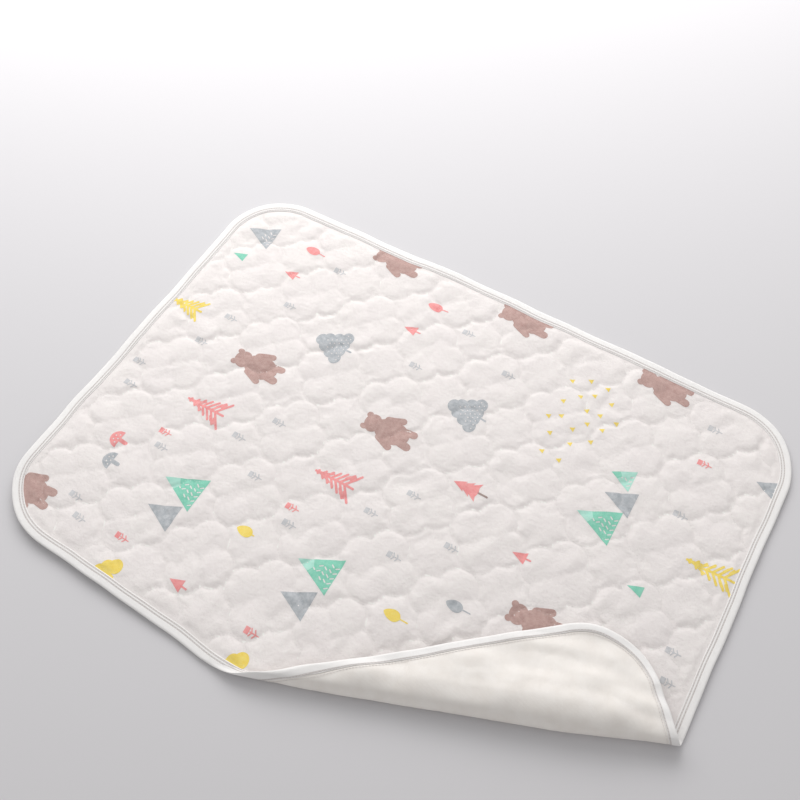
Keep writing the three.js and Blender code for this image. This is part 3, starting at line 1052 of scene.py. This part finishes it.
def tape_section():
    """The tape's section as (distance in from the edge, height), once round: out along the top, round the
    pad's edge, back underneath, and the same way home inside."""
    nose, middle = 2.4, TAPE_TOP / 2
    turn = np.linspace(0, math.pi, 9)
    leg = np.linspace(TAPE_WIDTH - 0.3, nose, 22)[:-1]
    back_leg = np.linspace(nose, BACK_LEG - 0.3, 15)[1:]
    crown = 0.1 * smooth((TAPE_WIDTH - leg) / 2)
    outside = [(TAPE_WIDTH, TAPE_TOP - 0.45), *zip(leg, TAPE_TOP - 0.1 + crown - stitch_channel(leg))]
    outside += zip(nose - nose * np.sin(turn), middle + middle * np.cos(turn))
    outside += [*zip(back_leg, 0.02 + stitch_channel(back_leg)), (BACK_LEG, 0.35)]
    inner_nose, inner_middle = nose - TAPE_THICKNESS, middle - TAPE_THICKNESS
    inside = [(BACK_LEG, TAPE_THICKNESS)]
    inside += zip(nose - inner_nose * np.sin(turn[::-1]), middle + inner_middle * np.cos(turn[::-1]))
    inside += [(TAPE_WIDTH, TAPE_TOP - TAPE_THICKNESS)]
    return np.array(outside + inside)


def split_at_roll(flat, groups):
    """Cuts a flat closed mesh where the pieces are divided and closes both halves.
    Gives (flat points, shown faces, all faces) of each."""
    halves = []
    for direction in (1, -1):
        solid = bmesh.new()
        vertices = [solid.verts.new(point) for point in flat]
        for group in groups:
            for face in group:
                solid.faces.new([vertices[k] for k in face])
        everything = solid.verts[:] + solid.edges[:] + solid.faces[:]
        facing = (direction * OUTWARD[0], direction * OUTWARD[1], 0)
        middle = (*from_crease(0, DIVISION), 0)
        bmesh.ops.bisect_plane(solid, geom=everything, plane_co=middle, plane_no=facing, clear_outer=True)
        shown = set(solid.faces)
        bmesh.ops.holes_fill(solid, edges=[edge for edge in solid.edges if edge.is_boundary], sides=0)
        solid.verts.index_update()
        by_size = {}
        seen = {}
        for face in solid.faces:
            corners = [vertex.index for vertex in face.verts]
            by_size.setdefault(len(corners), []).append(corners)
            if face in shown:
                seen.setdefault(len(corners), []).append(corners)
        points = np.array([vertex.co[:] for vertex in solid.verts])
        solid.free()
        halves.append((points, [np.array(f) for f in seen.values()], [np.array(f) for f in by_size.values()]))
    return halves


def edge_run(x, y):
    """Distance round the pad's edge, from the front end of the right-hand side."""
    a, b = HALF_LENGTH - CORNER_RADIUS, HALF_WIDTH - CORNER_RADIUS
    cx, cy = np.clip(x, -a, a), np.clip(y, -b, b)
    turned = np.mod(np.arctan2(y - cy, x - cx), 2 * math.pi) * CORNER_RADIUS
    runs = [2 * b + a - cx, 3 * b + 2 * a - cy, 4 * b + 3 * a + cx]
    straight = np.select([cy >= b, cx <= -a, cy <= -b], runs, cy + b)
    return turned + straight


def binding_tape(material):
    section, stations = tape_section(), ring(0, 2.2)
    count, sides = len(stations), len(section)
    x, y, nx, ny = stations.T
    depth = np.broadcast_to(section[:, 0], (count, sides))
    uneven = 0.25 * noise(x, y, 11, 12)[:, None] * smooth(depth / TAPE_WIDTH)
    depth = depth + uneven
    height = np.broadcast_to(section[:, 1], (count, sides))
    flat_x, flat_y = x[:, None] - nx[:, None] * depth, y[:, None] - ny[:, None] * depth
    flat = np.stack([flat_x, flat_y, height], -1).reshape(-1, 3)
    index = np.arange(count * sides).reshape(count, sides)
    ahead, across = np.roll(index, -1, axis=0), np.roll(index, -1, axis=1)
    quads = np.stack([index, ahead, np.roll(ahead, -1, axis=1), across], -1).reshape(-1, 4)
    halves = split_at_roll(flat, [quads])
    parts = [(points, place(*points.T), shown) for points, shown, _ in halves]
    normals = joined_normals(parts)
    pieces = []
    for (points, placed, _), (_, _, faces), normal, side in zip(parts, halves, normals, ("pad", "corner")):
        thing = new_object(f"binding_tape_{side}", placed, faces)
        x, y, height = points.T
        tape_flat = np.stack([edge_run(x, y), edge_distance(x, y), height], -1)
        pieces.append(finished(thing, tape_flat, material, normal))
    return pieces


tape = binding_tape(tape_material())


# ---------------------------------------------------------------- stitches
def stitches_along(path, pitch, length, stations=5):
    """Flat points of each stitch along a run of points: an array (stitch, station, 2)."""
    steps = np.linalg.norm(np.diff(path, axis=0), axis=1)
    run = np.concatenate([[0], np.cumsum(steps)])
    count = int(run[-1] / pitch)
    starts = np.arange(count) * run[-1] / count
    at = starts[:, None] + np.linspace(0, length, stations)
    return np.stack([np.interp(at, run, path[:, 0]), np.interp(at, run, path[:, 1])], -1)


def threads(name, centre, normal, radius, material, flat):
    """Short rounded threads along rows of centre points, parted where the pieces are divided."""
    sides = 6
    stations = centre.shape[1]
    run = np.linspace(-1, 1, stations)
    thick = radius * np.sqrt(np.maximum(1 - 0.93 * run**6, 0))[None, :, None]
    sunk = -0.75 * radius * run**4
    tangent = np.gradient(centre, axis=1)
    tangent /= np.linalg.norm(tangent, axis=-1, keepdims=True)
    side = np.cross(tangent, normal)
    centre = centre + normal * sunk[None, :, None]
    rings = []
    for turn in np.arange(sides) * 2 * math.pi / sides:
        rings.append(centre + thick * (math.cos(turn) * normal + math.sin(turn) * side))
    points = np.stack(rings, 2)
    pieces = []
    _, across = to_crease(flat[:, stations // 2, 0], flat[:, stations // 2, 1])
    for label, chosen in (("pad", across < DIVISION), ("corner", across >= DIVISION)):
        own = points[chosen]
        index = np.arange(own.shape[0] * stations * sides).reshape(-1, stations, sides)
        a, b = index[:, :-1], index[:, 1:]
        quads = np.stack([a, np.roll(a, -1, axis=2), np.roll(b, -1, axis=2), b], -1).reshape(-1, 4)
        caps = np.concatenate([index[:, 0, ::-1], index[:, -1]])
        thing = new_object(f"{name}_{label}", own.reshape(-1, 3), [quads, caps])
        spread = np.repeat(flat[chosen][:, :, None, :], sides, axis=2).reshape(-1, 2)
        spin = np.tile(np.arange(sides) * radius, own.shape[0] * stations)
        pieces.append(finished(thing, np.column_stack([spread, spin]), material))
    return pieces


def on_tape(points, height):
    """Places on the tape's face, and the tape's direction there."""
    x, y = points[..., 0].ravel(), points[..., 1].ravel()
    base = place(x, y, np.full(x.shape, height))
    above = place(x, y, np.full(x.shape, height + 0.5))
    normal = above - base
    normal /= np.linalg.norm(normal, axis=-1, keepdims=True)
    return base.reshape(*points.shape[:-1], 3), normal.reshape(*points.shape[:-1], 3)


THREAD = thread_material()
QUILT_STITCH = (3.1, 2.5)
TAPE_STITCH = (3.0, 2.5)


def quilting_stitches():
    rows = [stitches_along(path, *QUILT_STITCH) for path in cloud_outlines()]
    flat = np.concatenate(rows)
    flat = flat[edge_distance(flat[:, 2, 0], flat[:, 2, 1]) > TAPE_WIDTH + 1]
    centre, normal = COVER.at(flat[..., 0], flat[..., 1], 0.0)
    return threads("quilting_stitches", centre, normal, 0.22, THREAD, flat)


def tape_stitches(name, inset):
    """One row of lockstitch seen on the tape's top face and, reversed, on its underside."""
    path = ring(inset, 1.0)[:, :2]
    path = np.vstack([path, path[:1]])
    flat = stitches_along(path, *TAPE_STITCH)
    centre, normal = on_tape(flat, TAPE_TOP - 0.12)
    under, below = on_tape(flat, 0.05)
    both = np.concatenate([centre, under]), np.concatenate([normal, -below])
    return threads(name, *both, 0.27, THREAD, np.concatenate([flat, flat]))


quilting = quilting_stitches()
outer_row = tape_stitches("tape_stitches_outer", STITCH_ROWS[0])
inner_row = tape_stitches("tape_stitches_inner", STITCH_ROWS[1])


def bend(piece, corner):
    """Bakes a piece's transform into its mesh, the same for the pad's side and the corner's side; place() has
    already bent the pad's side up into the roll and the corner's side on over it.
    """
    if corner:
        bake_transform(piece)
    else:
        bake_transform(piece)


def bend_both(pieces, nodes):
    for piece, corner in zip(pieces, (False, True)):
        bend(piece, corner)
    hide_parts(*nodes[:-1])
    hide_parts(nodes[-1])


EDGE_PARTS = ("", "_fold_front", "_fold_side", "_corner")   # how the frame ends the names of the edge's parts
bend_both(top_cover, ["top_cover", "top_cover_fold", "top_cover_corner"])
bend_both(backing, ["back_cover", "back_cover_fold", "back_cover_corner"])
bend_both(film, ["waterproof_film", "waterproof_film_fold", "waterproof_film_corner"])
bend_both(wadding, ["batting", "batting_fold", "batting_corner"])
bend_both(tape, [f"edge_binding{end}" for end in EDGE_PARTS])
bend_both(quilting, ["quilting_thread", "quilting_thread_corner"])
for row, word in ((outer_row, "outer"), (inner_row, "inner")):
    bend_both(row, [f"binding_stitch_{word}{end}" for end in EDGE_PARTS])
for piece, corner in prints:
    bend(piece, corner)


# ---------------------------------------------------------------- what each sheet was cut from
def cut_area(grid, corner):
    """Flat area of one side of a layer, in square metres."""
    x, y, squares = grid.part(corner)
    ax, ay = x[squares[:, 2]] - x[squares[:, 0]], y[squares[:, 2]] - y[squares[:, 0]]
    bx, by = x[squares[:, 3]] - x[squares[:, 1]], y[squares[:, 3]] - y[squares[:, 1]]
    return float(np.abs(ax * by - ay * bx).sum()) / 2 * MM * MM


def cut_size(grid, corner):
    """The smallest rectangle, in line with the crease for the corner, that a layer's side is cut from."""
    x, y, _ = grid.part(corner)
    if corner:
        x, y = to_crease(x, y)
    return (float(np.ptp(x)) * MM, float(np.ptp(y)) * MM)


for pieces, grid in ((top_cover, FINE), (backing, FINE), (film, COARSE)):
    for piece, corner in zip(pieces, (False, True)):
        cut_size(grid, corner)
        cut_area(grid, corner)

# ---------------------------------------------------------------- floor, light and camera
# The camera's aim, side, height angle, distance and lens, which frame the pad from its front right
TARGET = Vector((-48.62, 73.66, 0)) * MM
AZIMUTH, ELEVATION, DISTANCE = math.radians(29.71), math.radians(61.03), 1095.7 * MM
TO_FRONT = Vector((math.sin(AZIMUTH), -math.cos(AZIMUTH), 0))
TO_RIGHT = Vector((math.cos(AZIMUTH), math.sin(AZIMUTH), 0))
LENS = 46.15
FLOOR_HALF = 8.0         # metres
WORLD_LEVEL = 0.55
REAR_POWER, BACKGROUND_POWER = 23.5, 14   # watts


def floor():
    mesh = bpy.data.meshes.new("floor")
    corners = [(u * FLOOR_HALF, v * FLOOR_HALF, 0) for u, v in ((-1, -1), (1, -1), (1, 1), (-1, 1))]
    mesh.from_pydata(corners, [], [(0, 1, 2, 3)])
    thing = bpy.data.objects.new("floor", mesh)
    bpy.context.scene.collection.objects.link(thing)
    cloth = Cloth("floor_paint", 0.75, specular=0.2)
    cloth.colour(rgb(208, 206, 208))
    mesh.materials.append(cloth.material)


def area_light(name, place_at, aim, size, power):
    light = bpy.data.lights.new(name, "AREA")
    light.shape = "RECTANGLE"
    light.size, light.size_y = size
    light.energy = power
    lamp = bpy.data.objects.new(name, light)
    bpy.context.scene.collection.objects.link(lamp)
    lamp.location = place_at
    lamp.rotation_mode = "QUATERNION"
    lamp.rotation_quaternion = (aim - place_at).to_track_quat("-Z", "Y")


def studio():
    world = bpy.data.worlds.new("studio")
    world.use_nodes = True
    world.node_tree.nodes["Background"].inputs["Color"].default_value = (1, 1, 1, 1)
    world.node_tree.nodes["Background"].inputs["Strength"].default_value = WORLD_LEVEL
    bpy.context.scene.world = world
    behind = TARGET - TO_FRONT * 1.35 - TO_RIGHT * 0.2 + Vector((0, 0, 1.05))
    area_light("rear_softbox", behind, TARGET - TO_FRONT * 0.15, (2.0, 1.2), REAR_POWER)
    far = TARGET - TO_FRONT * 1.25 + Vector((0, 0, 0.9))
    area_light("background_softbox", far, TARGET - TO_FRONT * 1.15, (3.0, 0.7), BACKGROUND_POWER)
    bpy.context.scene.view_settings.view_transform = "Standard"


def camera():
    data = bpy.data.cameras.new("camera")
    data.sensor_width, data.lens = 36.0, LENS
    data.clip_start, data.clip_end = 0.01, 50
    thing = bpy.data.objects.new("camera", data)
    bpy.context.scene.collection.objects.link(thing)
    back = TO_FRONT * math.cos(ELEVATION) + Vector((0, 0, math.sin(ELEVATION)))
    thing.location = TARGET + back * DISTANCE
    thing.rotation_mode = "QUATERNION"
    thing.rotation_quaternion = (-back).to_track_quat("-Z", "Y")
    bpy.context.scene.camera = thing


floor()
studio()
camera()
